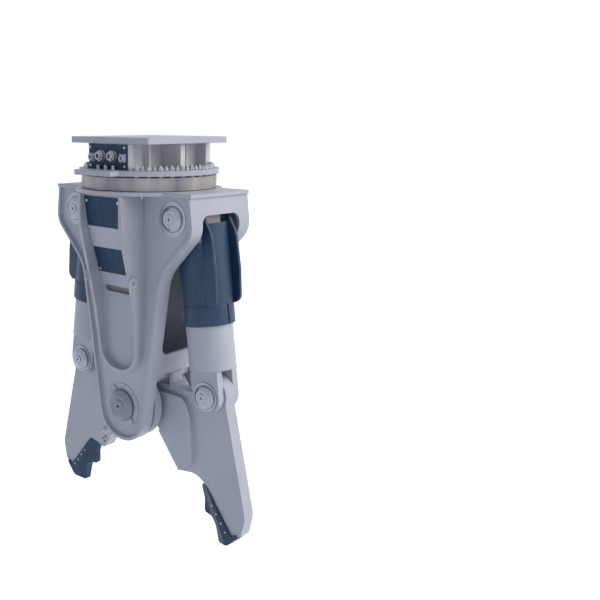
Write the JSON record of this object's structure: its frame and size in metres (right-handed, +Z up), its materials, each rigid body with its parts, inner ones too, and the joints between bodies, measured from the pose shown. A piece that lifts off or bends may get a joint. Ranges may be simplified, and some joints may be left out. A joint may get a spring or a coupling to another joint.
{
  "type": "demolition_multiprocessor",
  "caption": "Hydraulic demolition multiprocessor for an excavator: slewing mount, two swinging crusher jaws and two guarded cylinders",
  "frame": {"origin": "centre of the top face of the mounting plate", "axes": "+Z up towards the carrier, +X to the tool's right jaw, -Y to the front with the hydraulic ports"},
  "size_m": [1.581, 0.85, 2.2917],
  "materials": {
    "grey_paint": "satin lavender-grey paint on welded plate",
    "blue_paint": "satin dark blue paint",
    "bare_steel": "machined steel, lightly oiled",
    "zinc_steel": "zinc-plated bolts and fittings",
    "dark_iron": "dark primer on cast iron",
    "bronze": "turned bearing bronze",
    "chrome": "hard chrome, ground"
  },
  "bodies": {
    "bracket": {"bracket_plate": "grey_paint", "box_walls": "grey_paint", "box_webs": "grey_paint", "port_panel": "blue_paint", "panel_bolts": "zinc_steel", "main_ports": "zinc_steel", "drain_ports": "grey_paint", "tab_fittings": "zinc_steel", "slew_flange": "grey_paint", "flange_bolts": "bare_steel", "ring_outer": "bare_steel", "slew_motor": "dark_iron", "swivel_core": "bare_steel", "bearing_balls": "bare_steel"},
    "frame": {"ring_inner": "bare_steel", "deck": "grey_paint", "front_plate": "grey_paint", "rear_plate": "grey_paint", "side_wall_right": "grey_paint", "side_wall_left": "grey_paint", "hub_bands": "grey_paint", "stop_bar": "grey_paint", "front_rib": "grey_paint", "rear_rib": "grey_paint", "cover_seat": "grey_paint", "front_cover": "blue_paint", "cover_band": "grey_paint", "cover_bolts": "zinc_steel", "swivel_housing": "dark_iron", "flow_valve": "dark_iron", "main_pin": "bare_steel", "main_pin_rings": "grey_paint", "upper_pin_right": "bare_steel", "upper_pin_left": "bare_steel"},
    "pinion": {"drive_pinion": "bare_steel"},
    "jaw_right": {"jaw_right": "grey_paint", "jaw_right_doublers": "grey_paint", "jaw_right_blade": "bare_steel", "jaw_right_teeth": "blue_paint", "jaw_right_bolts": "zinc_steel", "jaw_right_bushes": "bronze"},
    "barrel_right": {"barrel_right": "grey_paint", "gland_right": "bare_steel", "lower_pin_right": "bare_steel"},
    "rod_right": {"rod_right": "chrome", "rod_eye_right": "dark_iron", "guard_right": "blue_paint"},
    "jaw_left": {"jaw_left": "grey_paint", "jaw_left_doublers": "grey_paint", "jaw_left_blade": "bare_steel", "jaw_left_teeth": "blue_paint", "jaw_left_bolts": "zinc_steel", "jaw_left_bushes": "bronze", "jaw_left_cheeks": "grey_paint"},
    "barrel_left": {"barrel_left": "grey_paint", "gland_left": "bare_steel", "lower_pin_left": "bare_steel"},
    "rod_left": {"rod_left": "chrome", "rod_eye_left": "dark_iron", "guard_left": "blue_paint"}
  },
  "joints": [
    {"name": "slew", "type": "hinge", "parent": "bracket", "child": "frame", "pos_m": [0, 0, -0.2405], "axis": [0, 0, 1], "continuous": true},
    {"name": "pinion_turn", "type": "hinge", "parent": "bracket", "child": "pinion", "pos_m": [0, 0.21, -0.2405], "axis": [0, 0, 1], "continuous": true},
    {"name": "jaw_right_swing", "type": "hinge", "parent": "frame", "child": "jaw_right", "pos_m": [0, 0, -1.55], "axis": [0, 1, 0], "range_deg": [0, 38.5]},
    {"name": "barrel_right_tilt", "type": "hinge", "parent": "jaw_right", "child": "barrel_right", "pos_m": [0.53, 0, -1.403], "axis": [0, 1, 0], "range_deg": [-37, 0]},
    {"name": "rod_right_stroke", "type": "slide", "parent": "barrel_right", "child": "rod_right", "axis": [-0.1368, 0, 0.9906], "range_m": [0, 0.365]},
    {"name": "jaw_left_swing", "type": "hinge", "parent": "frame", "child": "jaw_left", "pos_m": [0, 0, -1.55], "axis": [0, -1, 0], "range_deg": [0, 38.5]},
    {"name": "barrel_left_tilt", "type": "hinge", "parent": "jaw_left", "child": "barrel_left", "pos_m": [-0.53, 0, -1.403], "axis": [0, -1, 0], "range_deg": [-37, 0]},
    {"name": "rod_left_stroke", "type": "slide", "parent": "barrel_left", "child": "rod_left", "axis": [0.1368, 0, 0.9906], "range_m": [0, 0.365]}
  ],
  "couplings": [
    {"joint": "pinion_turn", "follows": "slew", "ratio": 6},
    {"joint": "barrel_right_tilt", "follows": "jaw_right_swing", "ratio": -0.942},
    {"joint": "rod_right_stroke", "follows": "jaw_right_swing", "m_per_rad": 0.537},
    {"joint": "barrel_left_tilt", "follows": "jaw_left_swing", "ratio": -0.942},
    {"joint": "rod_left_stroke", "follows": "jaw_left_swing", "m_per_rad": 0.537}
  ]
}
